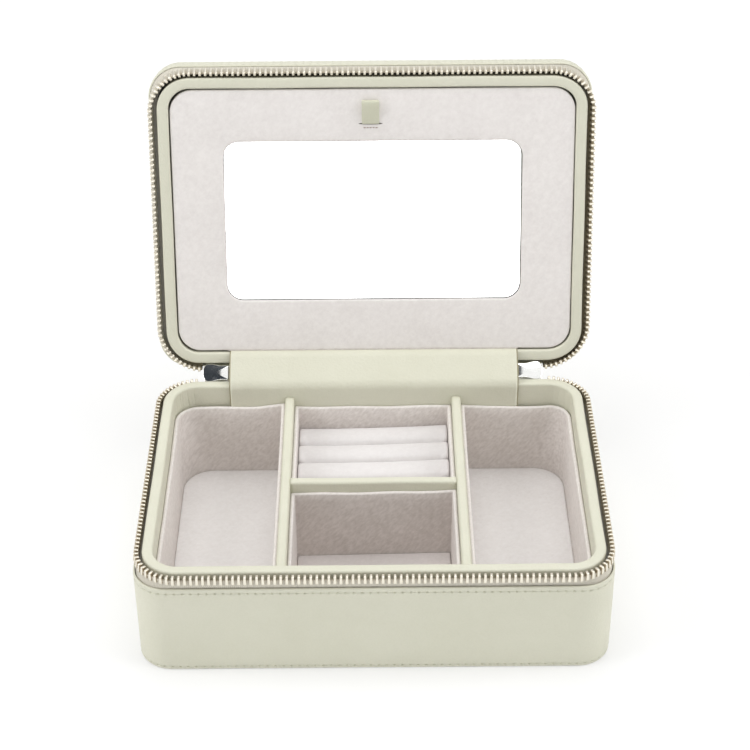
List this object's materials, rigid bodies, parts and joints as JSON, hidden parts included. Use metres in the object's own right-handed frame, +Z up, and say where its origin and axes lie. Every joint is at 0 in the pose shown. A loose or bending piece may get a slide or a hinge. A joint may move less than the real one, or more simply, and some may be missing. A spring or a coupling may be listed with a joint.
{
  "type": "travel jewellery box",
  "caption": "Zip-round leather travel jewellery case with a hinged lid, a fold-down mirror, a divided suede tray and padded ring rolls.",
  "frame": {"origin": "middle of the base's underside, on the surface that the case stands on", "axes": "+X to the right along the case's width, +Y from the front to the hinge at the back, +Z up"},
  "size_m": [0.201, 0.2015, 0.1892],
  "materials": {
    "green_leather": "satin",
    "suede_lining": "matte",
    "grey_board": "matte",
    "zip_tape": "matte",
    "zip_teeth": "polished",
    "bright_metal": "polished",
    "mirror_glass": "polished"
  },
  "bodies": {
    "base": {"base_wrap": "green_leather", "base_sole": "green_leather", "base_floor_board": "grey_board", "base_wall_board": "grey_board", "base_collar": "green_leather", "base_zip_tape": "zip_tape", "base_zip_teeth": "zip_teeth", "divider_left": "green_leather", "divider_right": "green_leather", "divider_cross": "green_leather", "liner_left": "suede_lining", "liner_right": "suede_lining", "liner_front": "suede_lining", "liner_ring": "suede_lining", "floor_pad_left": "suede_lining", "floor_pad_right": "suede_lining", "floor_pad_front": "suede_lining", "ring_roll_1": "suede_lining", "ring_roll_2": "suede_lining", "ring_roll_3": "suede_lining", "ring_roll_4": "suede_lining", "hinge_flap": "green_leather", "hinge_spine": "green_leather"},
    "lid": {"lid_wrap": "green_leather", "lid_top_panel": "green_leather", "lid_board": "grey_board", "lid_wall_board": "grey_board", "lid_collar": "green_leather", "lid_lining": "suede_lining", "lid_zip_tape": "zip_tape", "lid_zip_teeth": "zip_teeth", "panel_hinge_tape": "suede_lining"},
    "mirror_flap": {"mirror_panel": "suede_lining", "mirror": "mirror_glass", "mirror_backing": "grey_board"},
    "tab": {"pull_tab": "green_leather"},
    "left_slider": {"slider_left": "bright_metal", "zip_end_left": "zip_teeth"},
    "right_slider": {"slider_right": "bright_metal", "zip_end_right": "zip_teeth"},
    "left_pull": {"pull_left": "bright_metal"},
    "right_pull": {"pull_right": "bright_metal"}
  },
  "joints": [
    {"name": "lid_hinge", "type": "hinge", "parent": "base", "child": "lid", "pos_m": [0, 0.0726, 0.0512], "axis": [1, 0, 0], "range_deg": [0, 106.8], "deforming": ["hinge_flap", "hinge_spine"]},
    {"name": "mirror_flap_hinge", "type": "hinge", "parent": "lid", "child": "mirror_flap", "pos_m": [0, 0.077, 0.06196], "axis": [-1, 0, 0], "range_deg": [-75, 0]},
    {"name": "tab_hinge", "type": "hinge", "parent": "mirror_flap", "child": "tab", "pos_m": [0, 0.10736, 0.16287], "axis": [-1, 0, 0], "range_deg": [-60, 0]},
    {"name": "left_slider_tilt", "type": "hinge", "parent": "base", "child": "left_slider", "pos_m": [-0.0734, 0.0726, 0.0512], "axis": [1, 0, 0], "range_deg": [0, 53.4]},
    {"name": "left_pull_hinge", "type": "hinge", "parent": "left_slider", "child": "left_pull", "pos_m": [-0.0734, 0.0749, 0.04811], "axis": [-1, 0, 0], "range_deg": [-70, 0]},
    {"name": "right_slider_tilt", "type": "hinge", "parent": "base", "child": "right_slider", "pos_m": [0.0734, 0.0726, 0.0512], "axis": [1, 0, 0], "range_deg": [0, 53.4]},
    {"name": "right_pull_hinge", "type": "hinge", "parent": "right_slider", "child": "right_pull", "pos_m": [0.0734, 0.0749, 0.04811], "axis": [-1, 0, 0], "range_deg": [-70, 0]}
  ],
  "couplings": [
    {"joint": "left_slider_tilt", "follows": "lid_hinge", "ratio": 0.5},
    {"joint": "right_slider_tilt", "follows": "lid_hinge", "ratio": 0.5}
  ]
}
